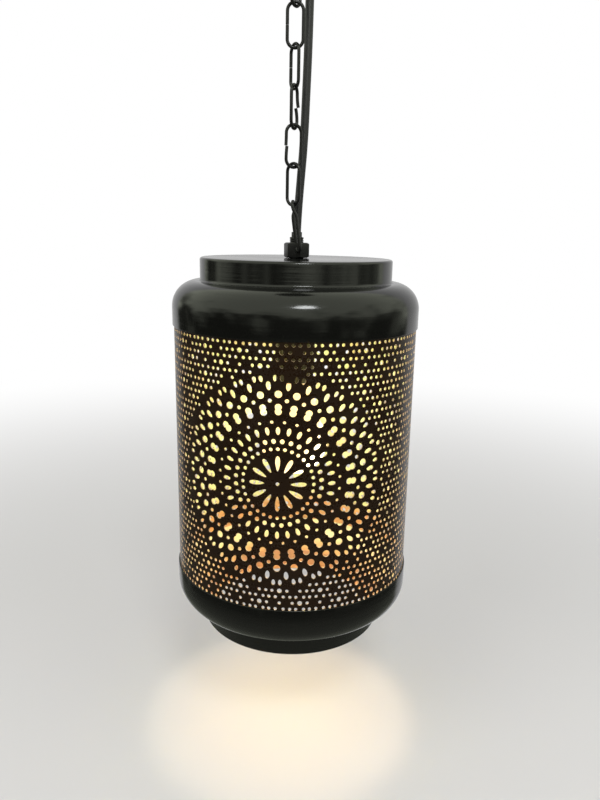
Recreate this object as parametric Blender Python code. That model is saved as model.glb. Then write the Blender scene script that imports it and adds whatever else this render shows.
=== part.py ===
"""Pierced sheet-metal lantern on a chain and flex, hung from a ceiling fitting.

Metres, +Z up. The origin is on the ceiling face, straight above the chain.
The front medallion of the drum faces -Y.
"""

from math import cos, pi, radians, sin, sqrt, tan

import bmesh
import bpy
from mathutils import Vector
from mathutils.geometry import delaunay_2d_cdt

GAP = 0.0003            # between pieces that touch
SHEET = 0.0009          # spun caps and canopy
ROUND_STEPS = 32        # facets round the large turned pieces
SMALL_STEPS = 16        # facets round the small turned pieces

# lantern body, heights from the top of the lid
LID_DROP = 0.258        # lid top below the ceiling
CAP_RADIUS = 0.100
CAP_HEIGHT = 0.0532
NECK_RADIUS = 0.0775
NECK_HEIGHT = 0.016
NECK_EDGE = 0.002       # radius of the neck's outer edge
NECK_FILLET = 0.002     # hollow fillet at the foot of the neck
SHOULDER_STEPS = 4      # facets across the round shoulder, alike outside and inside
BODY_HEIGHT = 0.3118    # lid top to collar bottom
COLLAR_MOUTH = 0.070    # radius of the open mouth below
DRUM_SHEET = 0.0008
DRUM_RADIUS = CAP_RADIUS - SHEET - GAP
DRUM_TUCK = 0.010       # drum hidden inside each cap
DRUM_GUARD = 0.001      # row of points just clear of each cap's skirt
DRUM_SEAM = radians(-101.25)  # where the rolled sheet closes, from the front towards +X
MEDALLION_HEIGHT = -0.1572
MEDALLION_EDGE = 0.0836
GROUND_PERIODS = 20     # bold dots of the ground pattern, round the drum
GROUND_SHIFT = 0.0022   # pattern from the middle of the front medallion
GROUND_MIDDLE = -0.15662
GROUND_ROW_STEP = 0.00505
GROUND_ROWS = (19, 11, 1, -7, -17)  # rows up from the middle one; every second is half a period on
GROUND_DOT = 0.0038
SEAM_MARGIN = 0.005     # no dots nearer to the seam

# hanging nut, nipple and what they clamp
THREAD_RADIUS = 0.0057
BORE_RADIUS = THREAD_RADIUS + GAP
NIPPLE_BORE = 0.0045
NIPPLE_TOP = 0.0164
NIPPLE_BOTTOM = -0.052
NIPPLE_LEAD = 0.0005
NUT_FLATS = 0.018
NUT_CORNER = NUT_FLATS / sqrt(3)
NUT_TOP = 0.012
NUT_FACE = 0.0087       # radius at which its 30 degree chamfers start
NUT_SPARE = 0.001       # blank left for the chamfers to trim
EYE_HEIGHT = 0.0072     # hole across one corner of the nut
EYE_OFFSET = 0.00815
EYE_RADIUS = 0.0017
EYE_CUT = 0.020         # half the length of its cutter
EYE_TURN = radians(24.3)  # corner with the hole, from the front towards +X

LINER_TOP = 0.0203
LINER_FOOT = 0.006
WASHER_RADIUS = 0.012
WASHER_THICK = 0.0015
LOCK_HEIGHT = 0.006

# chain of bent wire
WIRE_RADIUS = 0.00125
LINK_HALF_WIDTH = 0.0059
LINK_LENGTH = 0.0308    # between the wire centres of its two ends
LINK_STEP = LINK_LENGTH - 2 * WIRE_RADIUS - GAP
LINK_TURNS = (63, 6, -54, -105, -157, -213)  # degrees, from the top link down
LINK_JOINTS = (1, -1, -1, 1, -1, 1)          # leg that holds the butt joint
LINK_MISFITS = (0.0, 0.0, 0.0, 0.0009, 0.0006, 0.0)
BUTT_GAP = 0.0005
CHAIN_FOOT = 0.0406     # wire centre under the lowest plain link, above the lid
LAMP_OFFSET = Vector((0.0022, 0.0108, 0.0))  # lantern axis from the chain line
LAST_TOP_HALF_WIDTH = 0.005
LAST_FOOT_HALF_WIDTH = 0.0071
LAST_BEND = 0.0032
LAST_LEG = (0.0075, 0.012, 0.016, 0.020, 0.024, 0.028)  # heights of points along a leg
LAST_TWIST_FROM = 0.006
LAST_TOP_TURN = radians(87)

# flex beside the chain
FLEX_RADIUS = 0.00325
FLEX_TURN = radians(6)  # direction in which the flex leans away from the axis
FLEX_ROUTE = (          # lean from the lantern axis, height above the lid
    (0.0, -0.056), (0.0, -0.02), (0.0, 0.012), (0.0001, 0.020), (0.0009, 0.038),
    (0.0024, 0.060), (0.0038, 0.079), (0.0048, 0.098), (0.0054, 0.117),
    (0.0064, 0.152), (0.0070, 0.188), (0.0074, 0.224), (0.0074, 0.240),
)
FLEX_CUTS = (-0.056, 0.060, 0.124, 0.180, 0.240)

# ceiling fitting, heights below the ceiling
LOOP_RADIUS = 0.007
LOOP_WIRE = 0.0015
LOOP_TURN = radians(121)
CANOPY_DEPTH = 0.0295
CANOPY_STEPS = 16
CANOPY_LINE = (         # radius, height above its flat underside
    (0.0300, 0.0), (0.0360, 0.0016), (0.0398, 0.0050), (0.0410, 0.0090), (0.0410, 0.0151),
    (0.0422, 0.0198), (0.0460, 0.0234), (0.0520, 0.0252), (0.0520, 0.0292),
)
STRAP_WIDTH = 0.018
STRAP_LENGTH = 0.092
STRAP_THICK = 0.0025
SLOT_LENGTH = 0.014
SLOT_WIDTH = 0.0056
SLOT_OFFSET = 0.0307
BOSS_RADIUS = 0.005
BOSS_DEPTH = 0.009
BOSS_ROOT = 0.001       # boss run into the strap
SHANK_RADIUS = 0.0025
SHANK_BORE = SHANK_RADIUS + GAP
CANOPY_NUT_RADIUS = 0.0068
CANOPY_NUT_HEIGHT = 0.0042
CANOPY_NUT_EDGE = 0.0012
BUSH_BORE = FLEX_RADIUS + GAP
BUSH_NECK = BUSH_BORE + 0.0010
BUSH_COLLAR = BUSH_BORE + 0.0026
BUSH_LIP = 0.0025
BUSH_EDGE = 0.0010
TERMINAL = ((0.0005, 0.0056), (0.0125, 0.0056), (0.0125, 0.0196), (0.0005, 0.0196))
CUTTER = 0.02           # half the length of a cutter through thin sheet

# lampholder and bulb, heights from the top of the lid
HOLDER_TOP = -0.044
HOLDER_SPLIT = -0.064
HOLDER_MOUTH = -0.101
HOLDER_RADIUS = 0.0165
HOLDER_WALL = 0.002
HOLDER_NECK = 0.0095    # flat top of its cap
HOLDER_ROOF = 0.005
HOLDER_SKIRT = 0.006    # straight foot of its cap
HOLDER_STEP = 0.0008    # set-back of the rim at its mouth
HOLDER_RIM = 0.008
HOLDER_BORE = 0.0139
CONTACT_INSET = 0.0005
CONTACT_DEPTH = 0.008
TONGUE_RADIUS = 0.0045
TONGUE_DEPTH = 0.0019
SCREW_RADIUS = 0.0131
SCREW_WALL = 0.0006
SCREW_ROOF = 0.006
SCREW_TAPER = 0.0045    # height over which the cap widens from its contact
BULB_NECK = ((0.0128, 0.0), (0.0140, 0.006), (0.0190, 0.022))  # radius, drop from the screw cap
BULB_WALL = 0.0008
BULB_RADIUS = 0.0285
BULB_BOTTOM = -0.183


def clear_scene():
    for found in list(bpy.data.objects):
        bpy.data.objects.remove(found, do_unlink=True)


def make_material(name, colour, roughness, metallic, emission=0.0):
    made = bpy.data.materials.new(name)
    made.use_nodes = True
    shader = made.node_tree.nodes["Principled BSDF"]
    shader.inputs["Base Color"].default_value = (*colour, 1)
    shader.inputs["Roughness"].default_value = roughness
    shader.inputs["Metallic"].default_value = metallic
    shader.inputs["Emission Color"].default_value = (1.0, 0.72, 0.36, 1)
    shader.inputs["Emission Strength"].default_value = emission
    return made


def pivot(name, place):
    """An empty on a joint's axis, which carries the pieces of one moving body."""
    empty = bpy.data.objects.new(name, None)
    empty.location = place
    bpy.context.collection.objects.link(empty)
    return empty


def seat(piece, material, parent, place=(0, 0, 0)):
    """Gives a piece its material and its place under its body's empty."""
    piece.data.materials.append(material)
    piece.parent = parent
    piece.location = Vector(place) - parent.location
    return piece


def mesh_object(name, shape, smooth=True):
    mesh = bpy.data.meshes.new(name)
    shape.to_mesh(mesh)
    shape.free()
    if smooth:
        mesh.shade_smooth()
        mesh.set_sharp_from_angle(angle=radians(35))
    made = bpy.data.objects.new(name, mesh)
    bpy.context.collection.objects.link(made)
    return made


def arc(centre, radius, start, end, steps):
    """Points of an arc in a plane, angles in degrees from the plane's first axis."""
    found = []
    for i in range(steps + 1):
        angle = radians(start + (end - start) * i / steps)
        found.append((centre[0] + radius * cos(angle), centre[1] + radius * sin(angle)))
    return found


def rod(radius, low, high):
    return [(0, low), (radius, low), (radius, high), (0, high)]


def sleeve(bore, radius, low, high):
    return [(bore, low), (radius, low), (radius, high), (bore, high)]


def walled(line, wall):
    """A closed profile from an open (r, z) line and its copy one wall to its left."""
    inner = []
    for i, here in enumerate(line):
        runs = [Vector(here) - Vector(line[i - 1])] if i else []
        runs += [Vector(line[i + 1]) - Vector(here)] if i + 1 < len(line) else []
        normals = [run.normalized().orthogonal() for run in runs]
        middle = (normals[0] + normals[-1]).normalized()
        inner.append(tuple(Vector(here) + middle * wall / middle.dot(normals[0])))
    return list(line) + inner[::-1]


def turned(name, profile, steps=SMALL_STEPS):
    """A closed profile of (r, z) points turned round Z."""
    shape = bmesh.new()
    points = [shape.verts.new((r, 0, z)) for r, z in profile]
    edges = [shape.edges.new((a, b)) for a, b in zip(points, points[1:] + points[:1])]
    bmesh.ops.spin(shape, geom=points + edges, cent=(0, 0, 0), axis=(0, 0, 1),
                   angle=2 * pi, steps=steps, use_merge=True)
    bmesh.ops.remove_doubles(shape, verts=shape.verts[:], dist=1e-6)
    bmesh.ops.recalc_face_normals(shape, faces=shape.faces[:])
    return mesh_object(name, shape)


def prism(name, outline, low, high):
    """A flat outline of (x, y) points raised from low to high."""
    shape = bmesh.new()
    face = shape.faces.new([shape.verts.new((x, y, low)) for x, y in outline])
    raised = bmesh.ops.extrude_face_region(shape, geom=[face])
    moved = [v for v in raised["geom"] if isinstance(v, bmesh.types.BMVert)]
    bmesh.ops.translate(shape, verts=moved, vec=(0, 0, high - low))
    bmesh.ops.recalc_face_normals(shape, faces=shape.faces[:])
    return mesh_object(name, shape, smooth=False)


def tube(name, points, radius, sides_step=2):
    """Round wire or flex along a list of points, with closed ends."""
    curve = bpy.data.curves.new(name, "CURVE")
    curve.dimensions = "3D"
    curve.bevel_depth = radius
    curve.bevel_resolution = sides_step
    curve.use_fill_caps = True
    spline = curve.splines.new("POLY")
    spline.points.add(len(points) - 1)
    for knot, place in zip(spline.points, points):
        knot.co = (*place, 1)
    made = bpy.data.objects.new(name, curve)
    bpy.context.collection.objects.link(made)
    return made


def combine(piece, other, operation):
    """A Boolean of two pieces, with the second one kept only as a hidden guide."""
    other.hide_render = True
    other.display_type = "WIRE"
    other.parent = piece
    step = piece.modifiers.new(other.name, "BOOLEAN")
    step.operation = operation
    step.solver = "EXACT"
    step.object = other


def hexagon(flats, turn):
    corner = flats / sqrt(3)
    angles = [turn + i * pi / 3 for i in range(6)]
    return [(corner * sin(a), -corner * cos(a)) for a in angles]


def cap_profile(hole):
    """The spun cap: flat lid, neck, hollow fillet, quarter-round shoulder and skirt."""
    ledge = NECK_RADIUS + NECK_FILLET
    shoulder = CAP_RADIUS - ledge
    foot = -NECK_HEIGHT - NECK_FILLET
    middle = (ledge, foot - shoulder)
    outside = [(hole, 0)]
    outside += arc((NECK_RADIUS - NECK_EDGE, -NECK_EDGE), NECK_EDGE, 90, 0, 2)
    outside += arc((ledge, -NECK_HEIGHT), NECK_FILLET, 180, 270, 1)
    outside += arc(middle, shoulder, 90, 0, SHOULDER_STEPS)[1:]
    outside += [(CAP_RADIUS, -CAP_HEIGHT)]
    inside = [(CAP_RADIUS - SHEET, -CAP_HEIGHT)]
    inside += arc(middle, shoulder - SHEET, 0, 90, SHOULDER_STEPS)
    inside += [(NECK_RADIUS - SHEET, -NECK_HEIGHT - SHEET), (NECK_RADIUS - SHEET, -NECK_EDGE)]
    inside += [(NECK_RADIUS - NECK_EDGE, -SHEET), (hole, -SHEET)]
    return outside + inside


def ellipse(length, width, sides):
    angles = [2 * pi * i / sides for i in range(sides)]
    return [(length / 2 * cos(a), width / 2 * sin(a)) for a in angles]


def petal(length, width):
    """A leaf pointed at both ends, along the radius of the medallion."""
    return [(length / 2, 0), (length / 6, width / 2), (-length / 4, width / 2.4),
            (-length / 2, 0), (-length / 4, -width / 2.4), (length / 6, -width / 2)]


def waisted(length, width, waist):
    """Two rounds run together, along the radius of the medallion."""
    return [(length / 2, 0), (length / 4, width / 2), (0, waist / 2), (-length / 4, width / 2),
            (-length / 2, 0), (-length / 4, -width / 2), (0, -waist / 2), (length / 4, -width / 2)]


# count, radius of the ring on the flat sheet, outline of one hole
MEDALLION = (
    (12, 0.01545, petal(0.0117, 0.0034)),
    (32, 0.0558, waisted(0.0083, 0.0050, 0.0036)),
    (32, 0.0668, ellipse(0.0054, 0.0054, 6)),
)
PLAIN_RINGS = ((12, 0.0290), (20, 0.0400))  # points on the bare sheet inside the medallion


def ground_places(girth, middles):
    """Places of the bold dots between the medallions, and of points on the bare sheet among them."""
    step = girth / GROUND_PERIODS
    dots, bare, clear = [], [], []
    for i, row in enumerate(GROUND_ROWS):
        up = GROUND_MIDDLE + GROUND_ROW_STEP * row
        for period in range(GROUND_PERIODS):
            along = middles[0].x + GROUND_SHIFT + step * (period + i % 2 / 2)
            dots.append((along % girth, up))
            bare.append(((along + step / 2) % girth, up))
    for places in (dots, bare):
        clear.append([place for place in places
                      if SEAM_MARGIN < place[0] < girth - SEAM_MARGIN
                      and min((Vector(place) - middle).length for middle in middles) > MEDALLION_EDGE])
    return clear


def flat_drum():
    """The drum before rolling: its edge, fold lines clear of the caps, holes, and points on bare sheet."""
    girth = 2 * pi * DRUM_RADIUS
    top = -CAP_HEIGHT + DRUM_TUCK
    bottom = -BODY_HEIGHT - top
    columns = [girth * i / ROUND_STEPS for i in range(ROUND_STEPS + 1)]
    edge = [(along, bottom) for along in columns] + [(along, top) for along in columns[::-1]]
    below = DRUM_TUCK + DRUM_GUARD
    guards = [[(along, up) for along in columns] for up in (bottom + below, top - below)]
    middles = [Vector(((facing - DRUM_SEAM) * DRUM_RADIUS, MEDALLION_HEIGHT)) for facing in (0, pi)]
    dots, bare = ground_places(girth, middles)
    square = ellipse(GROUND_DOT * sqrt(pi / 2), GROUND_DOT * sqrt(pi / 2), 4)  # as open as the round dot
    holes = [[(along + x, up + y) for x, y in square] for along, up in dots]
    for middle in middles:
        for count, ring, outline in MEDALLION:
            for i in range(count):
                angle = 2 * pi * i / count
                holes.append([(middle.x + (ring + out) * sin(angle) - across * cos(angle),
                               middle.y + (ring + out) * cos(angle) + across * sin(angle))
                              for out, across in outline])
        for count, ring in PLAIN_RINGS:
            angles = [2 * pi * i / count for i in range(count)]
            bare += [(middle.x + ring * sin(a), middle.y + ring * cos(a)) for a in angles]
    return edge, guards, holes, bare


def rolled_drum(name):
    """The pierced sheet rolled round Z, with its thickness added inwards."""
    edge, guards, holes, bare = flat_drum()
    points = edge + bare
    edges = [(i, (i + 1) % len(edge)) for i in range(len(edge))]
    for line in guards:
        edges += [(len(points) + i, len(points) + i + 1) for i in range(len(line) - 1)]
        points += line
    loops = []
    for hole in holes:
        loops.append(range(len(points), len(points) + len(hole)))
        points += hole
    inside = 1
    flat, _, faces, _, _, in_hole = delaunay_2d_cdt(
        [Vector(p) for p in points], edges, loops, inside, 1e-7)
    shape = bmesh.new()
    rolled = []
    for along, up in flat:
        swing = DRUM_SEAM + along / DRUM_RADIUS
        rolled.append(shape.verts.new((DRUM_RADIUS * sin(swing), -DRUM_RADIUS * cos(swing), up)))
    for face, hole in zip(faces, in_hole):
        if not hole:
            shape.faces.new([rolled[i] for i in face])
    bmesh.ops.remove_doubles(shape, verts=shape.verts[:], dist=1e-6)
    made = mesh_object(name, shape)
    wall = made.modifiers.new("sheet", "SOLIDIFY")
    wall.thickness = DRUM_SHEET
    wall.offset = -1
    return made


def smoothstep(value, low, high):
    t = min(1.0, max(0.0, (value - low) / (high - low)))
    return t * t * (3 - 2 * t)


def link_path(joint, misfit):
    """The centreline (across, up) of a bent link from one side of its butt joint to the other."""
    top = LINK_LENGTH / 2 - LINK_HALF_WIDTH
    path = [(LINK_HALF_WIDTH - misfit, -BUTT_GAP / 2), (LINK_HALF_WIDTH, -top / 2)]
    path += arc((0, -top), LINK_HALF_WIDTH, 0, -180, 6)
    path += arc((0, top), LINK_HALF_WIDTH, 180, 0, 6)
    path += [(LINK_HALF_WIDTH + misfit / 2, BUTT_GAP / 2)]
    return [(joint * across, up) for across, up in path]


def last_link_points():
    """The opened and twisted link that joins the chain to the eye of the nut."""
    eye = LAMP_OFFSET + Vector((EYE_OFFSET * sin(EYE_TURN), -EYE_OFFSET * cos(EYE_TURN), EYE_HEIGHT))
    height = CHAIN_FOOT + 2 * WIRE_RADIUS + GAP - EYE_HEIGHT
    straight = LAST_FOOT_HALF_WIDTH - LAST_BEND
    leg_top = height - LAST_TOP_HALF_WIDTH
    leg = [(LAST_FOOT_HALF_WIDTH + (LAST_TOP_HALF_WIDTH - LAST_FOOT_HALF_WIDTH)
            * smoothstep(up, LAST_LEG[0], leg_top), up) for up in LAST_LEG]
    half = [(0, 0)] + arc((straight, LAST_BEND), LAST_BEND, -90, 0, 3) + leg
    half += arc((0, leg_top), LAST_TOP_HALF_WIDTH, 0, 90, 3)
    path = half + [(-across, up) for across, up in half[-2:0:-1]]
    path += [(-BUTT_GAP, 0)]
    found = []
    for across, up in path:
        share = smoothstep(up, LAST_TWIST_FROM, leg_top)
        turn = EYE_TURN + (LAST_TOP_TURN - EYE_TURN) * share
        foot = eye * (1 - share) + Vector((0, 0, EYE_HEIGHT)) * share
        height = EYE_HEIGHT + up - LID_DROP
        found.append((foot.x + across * cos(turn), foot.y + across * sin(turn), height))
    return found


def flex_point(height):
    """The flex's centreline at a height above the lid, on a smooth curve through its route."""
    knots = FLEX_ROUTE
    last = len(knots) - 1
    i = max(k for k in range(last) if knots[k][1] <= height or k == 0)
    before, after = knots[max(0, i - 1)], knots[min(last, i + 2)]
    (a, low), (b, high) = knots[i], knots[i + 1]
    t = (height - low) / (high - low)
    span = high - low
    slope_a = (b - before[0]) / (high - before[1]) * span
    slope_b = (after[0] - a) / (after[1] - low) * span
    lean = ((2 * t ** 3 - 3 * t ** 2 + 1) * a + (t ** 3 - 2 * t ** 2 + t) * slope_a
            + (3 * t ** 2 - 2 * t ** 3) * b + (t ** 3 - t ** 2) * slope_b)
    side = LAMP_OFFSET + Vector((lean * cos(FLEX_TURN), lean * sin(FLEX_TURN), 0))
    return (side.x, side.y, height - LID_DROP)


def make_lantern_shell(parent, place, enamel):
    seat(turned("top_cap", cap_profile(BORE_RADIUS), ROUND_STEPS), enamel, parent, place)
    below = [(r, -BODY_HEIGHT - z) for r, z in cap_profile(COLLAR_MOUTH)]
    seat(turned("bottom_cap", below, ROUND_STEPS), enamel, parent, place)
    seat(rolled_drum("pierced_drum"), enamel, parent, place)


def make_hanger(parent, place, black, steel, nylon):
    blank = hexagon(NUT_FLATS, EYE_TURN)
    nut = seat(prism("hanger_nut", blank, GAP - NUT_SPARE, NUT_TOP + NUT_SPARE), black, parent, place)
    reach = NUT_CORNER + NUT_SPARE
    drop = (reach - NUT_FACE) * tan(radians(30))
    trim = [(BORE_RADIUS, GAP), (NUT_FACE, GAP), (reach, GAP + drop), (reach, NUT_TOP - drop),
            (NUT_FACE, NUT_TOP), (BORE_RADIUS, NUT_TOP)]
    combine(nut, turned("nut_chamfers", trim), "INTERSECT")
    eye = turned("nut_eye", rod(EYE_RADIUS, -EYE_CUT, EYE_CUT), 12)
    eye.rotation_euler = (0, pi / 2, EYE_TURN)
    eye.location = (EYE_OFFSET * sin(EYE_TURN), -EYE_OFFSET * cos(EYE_TURN), EYE_HEIGHT)
    combine(nut, eye, "DIFFERENCE")

    nipple = [(NIPPLE_BORE, NIPPLE_TOP), (THREAD_RADIUS - NIPPLE_LEAD, NIPPLE_TOP),
              (THREAD_RADIUS, NIPPLE_TOP - NIPPLE_LEAD), (THREAD_RADIUS, NIPPLE_BOTTOM),
              (NIPPLE_BORE, NIPPLE_BOTTOM)]
    seat(turned("threaded_nipple", nipple), black, parent, place)
    liner = sleeve(BUSH_BORE, NIPPLE_BORE - GAP, LINER_FOOT, LINER_TOP)
    seat(turned("flex_liner", liner), nylon, parent, place)
    washer_top = -SHEET - GAP
    washer_foot = washer_top - WASHER_THICK
    washer = sleeve(BORE_RADIUS, WASHER_RADIUS, washer_foot, washer_top)
    seat(turned("lid_washer", washer), steel, parent, place)
    lock_top = washer_foot - GAP
    lock = prism("lock_nut", hexagon(NUT_FLATS, 0), lock_top - LOCK_HEIGHT, lock_top)
    seat(lock, steel, parent, place)
    combine(lock, turned("lock_bore", rod(BORE_RADIUS, -CUTTER, CUTTER)), "DIFFERENCE")


def make_lampholder(parent, place, phenolic, ceramic, brass):
    """The holder in two halves, with the contacts inside. Returns the height of the bulb's tip."""
    hollow = HOLDER_RADIUS - HOLDER_WALL
    shoulder = (HOLDER_NECK, HOLDER_SPLIT + HOLDER_SKIRT)
    roof = HOLDER_TOP - HOLDER_ROOF
    cap = [(BORE_RADIUS, HOLDER_TOP), (HOLDER_NECK, HOLDER_TOP)]
    cap += arc(shoulder, HOLDER_RADIUS - HOLDER_NECK, 75, 0, 4)
    cap += [(HOLDER_RADIUS, HOLDER_SPLIT), (hollow, HOLDER_SPLIT), (hollow, shoulder[1]),
            (HOLDER_NECK, roof), (BORE_RADIUS, roof)]
    seat(turned("holder_cap", cap), phenolic, parent, place)
    top = HOLDER_SPLIT - GAP
    rim = HOLDER_RADIUS - HOLDER_STEP
    rim_top = HOLDER_MOUTH + HOLDER_RIM
    shell = [(HOLDER_BORE, top), (HOLDER_RADIUS, top), (HOLDER_RADIUS, rim_top),
             (rim, rim_top - HOLDER_STEP), (rim, HOLDER_MOUTH), (HOLDER_BORE, HOLDER_MOUTH)]
    seat(turned("holder_shell", shell), phenolic, parent, place)
    foot = top - CONTACT_INSET - CONTACT_DEPTH
    block = turned("contact_block", rod(HOLDER_BORE - GAP, foot, top - CONTACT_INSET))
    seat(block, ceramic, parent, place)
    tongue = turned("centre_contact", rod(TONGUE_RADIUS, foot - GAP - TONGUE_DEPTH, foot - GAP), 12)
    seat(tongue, brass, parent, place)
    return foot - TONGUE_DEPTH - 2 * GAP


def make_bulb(parent, place, tip, glass, brass):
    """The screw cap stands between the centre contact and the glass."""
    foot = HOLDER_MOUTH - GAP
    bore = SCREW_RADIUS - SCREW_WALL
    cap = [(0, tip), (TONGUE_RADIUS, tip), (SCREW_RADIUS, tip - SCREW_TAPER), (SCREW_RADIUS, foot),
           (bore, foot), (bore, tip - SCREW_ROOF), (0, tip - SCREW_ROOF)]
    seat(turned("bulb_screw_cap", cap), brass, parent, place)
    middle = (0, BULB_BOTTOM + BULB_RADIUS)
    neck = [(r, foot - GAP - drop) for r, drop in BULB_NECK]
    outside = neck + arc(middle, BULB_RADIUS, 35, -90, 6)
    inside = arc(middle, BULB_RADIUS - BULB_WALL, -90, 35, 4)
    inside += [(r - BULB_WALL, z) for r, z in neck[::-1]]
    seat(turned("bulb_glass", outside + inside), glass, parent, place)


def make_chain(bodies, wire):
    """Six plain links, two to each body, and the twisted link on the lantern's body."""
    for i, (turn, joint, misfit) in enumerate(zip(LINK_TURNS, LINK_JOINTS, LINK_MISFITS)):
        foot = CHAIN_FOOT + LINK_STEP * (len(LINK_TURNS) - 1 - i) - LID_DROP
        points = [(across, 0, up) for across, up in link_path(joint, misfit)]
        link = tube(f"chain_link_{i + 1}", points, WIRE_RADIUS, 1)
        seat(link, wire, bodies[i // 2], (0, 0, foot + LINK_LENGTH / 2))
        link.rotation_euler = (0, 0, radians(turn))
    last = tube(f"chain_link_{len(LINK_TURNS) + 1}", last_link_points(), WIRE_RADIUS, 1)
    seat(last, wire, bodies[-1])


def make_flex(bodies, sheath):
    """Four stretches, one for each body below the ceiling, meeting end to end."""
    names = ("flex_lower", "flex_middle_lower", "flex_middle_upper", "flex_upper")
    for name, body, low, high in zip(names, bodies[::-1], FLEX_CUTS, FLEX_CUTS[1:]):
        low += GAP / 2
        high -= GAP / 2
        steps = round((high - low) / (5 * FLEX_RADIUS))
        points = [flex_point(low + (high - low) * i / steps) for i in range(steps + 1)]
        seat(tube(name, points, FLEX_RADIUS), sheath, body)


def make_ceiling_fitting(parent, black, steel, nylon):
    corners = ((-1, -1), (1, -1), (1, 1), (-1, 1))
    outline = [(STRAP_WIDTH / 2 * x, STRAP_LENGTH / 2 * y) for x, y in corners]
    strap = seat(prism("ceiling_strap", outline, -STRAP_THICK, 0), steel, parent)
    for side in (-1, 1):
        run = (SLOT_LENGTH - SLOT_WIDTH) / 2
        slot = arc((0, side * SLOT_OFFSET + run), SLOT_WIDTH / 2, 0, 180, 4)
        slot += arc((0, side * SLOT_OFFSET - run), SLOT_WIDTH / 2, 180, 360, 4)
        combine(strap, prism(f"strap_slot_{side}", slot, -CUTTER, CUTTER), "DIFFERENCE")
    boss = sleeve(SHANK_BORE, BOSS_RADIUS, -STRAP_THICK - BOSS_DEPTH, -STRAP_THICK + BOSS_ROOT)
    combine(strap, turned("strap_boss", boss), "UNION")

    middle = CHAIN_FOOT + LINK_STEP * len(LINK_TURNS) + WIRE_RADIUS - LOOP_WIRE - LID_DROP + LOOP_RADIUS
    loop = turned("canopy_loop", arc((LOOP_RADIUS, 0), LOOP_WIRE, 0, 315, 7), 16)
    seat(loop, black, parent, (0, 0, middle))
    loop.rotation_euler = (pi / 2, 0, LOOP_TURN)
    shank = turned("loop_shank", rod(SHANK_RADIUS, LOOP_RADIUS, -STRAP_THICK - GAP - middle), 12)
    shank.rotation_euler = (-pi / 2, 0, 0)
    combine(loop, shank, "UNION")

    flat = -CANOPY_DEPTH
    line = [(SHANK_BORE, flat)] + [(r, flat + up) for r, up in CANOPY_LINE]
    canopy = seat(turned("ceiling_canopy", walled(line, SHEET), CANOPY_STEPS), black, parent)
    flex_end = Vector(flex_point(FLEX_CUTS[-1]))
    bush_at = (flex_end.x, flex_end.y, flat)
    hole = turned("bush_hole", rod(BUSH_NECK + GAP, -CUTTER, CUTTER))
    hole.location = bush_at
    combine(canopy, hole, "DIFFERENCE")
    bush_top = SHEET + GAP
    bush = [(BUSH_BORE, -BUSH_LIP), (BUSH_COLLAR - BUSH_EDGE, -BUSH_LIP),
            (BUSH_COLLAR, BUSH_EDGE - BUSH_LIP), (BUSH_COLLAR, -GAP), (BUSH_NECK, -GAP),
            (BUSH_NECK, bush_top), (BUSH_COLLAR, bush_top), (BUSH_COLLAR, bush_top + BUSH_EDGE),
            (BUSH_BORE, bush_top + BUSH_EDGE)]
    seat(turned("canopy_bush", bush, 12), nylon, parent, bush_at)
    nut_top = flat - GAP
    nut_foot = nut_top - CANOPY_NUT_HEIGHT
    nut = [(SHANK_BORE, nut_foot), (CANOPY_NUT_RADIUS - CANOPY_NUT_EDGE, nut_foot),
           (CANOPY_NUT_RADIUS, nut_foot + CANOPY_NUT_EDGE), (CANOPY_NUT_RADIUS, nut_top),
           (SHANK_BORE, nut_top)]
    seat(turned("canopy_nut", nut), black, parent)
    seat(prism("terminal_block", TERMINAL, flex_end.z + GAP, -STRAP_THICK - GAP), nylon, parent)


def main():
    clear_scene()
    enamel = make_material("black_enamel", (0.012, 0.012, 0.011), 0.22, 0.0)
    black = make_material("blackened_steel", (0.020, 0.020, 0.019), 0.42, 0.6)
    steel = make_material("zinc_steel", (0.55, 0.55, 0.53), 0.35, 1.0)
    nylon = make_material("black_nylon", (0.018, 0.018, 0.018), 0.5, 0.0)
    sheath = make_material("flex_sheath", (0.022, 0.023, 0.022), 0.45, 0.0)
    phenolic = make_material("dark_phenolic", (0.030, 0.024, 0.020), 0.4, 0.0)
    ceramic = make_material("glazed_ceramic", (0.80, 0.78, 0.72), 0.3, 0.0)
    brass = make_material("plated_brass", (0.72, 0.62, 0.38), 0.3, 1.0)
    glass = make_material("opal_glass", (0.95, 0.90, 0.80), 0.2, 0.0, emission=3.0)

    steps_up = (6, 4, 2, 0)
    root = pivot("ceiling_fitting", (0, 0, 0))
    heights = [CHAIN_FOOT + LINK_STEP * n - LID_DROP for n in steps_up]
    heights[0] += WIRE_RADIUS - LOOP_WIRE
    names = ("chain_upper_pivot", "chain_middle_pivot", "chain_lower_pivot", "lantern_pivot")
    bodies = [pivot(name, (0, 0, height)) for name, height in zip(names, heights)]
    lantern = bodies[-1]
    place = LAMP_OFFSET - Vector((0, 0, LID_DROP))

    make_ceiling_fitting(root, black, steel, nylon)
    make_chain(bodies, black)
    make_lantern_shell(lantern, place, enamel)
    make_hanger(lantern, place, black, steel, nylon)
    tip = make_lampholder(lantern, place, phenolic, ceramic, brass)
    make_bulb(lantern, place, tip, glass, brass)
    make_flex(bodies, sheath)


main()
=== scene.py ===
from math import atan2, cos, pi, radians, sin, sqrt, tan

import bpy
import numpy as np
from mathutils import Matrix, Vector
from mathutils.geometry import delaunay_2d_cdt


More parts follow.
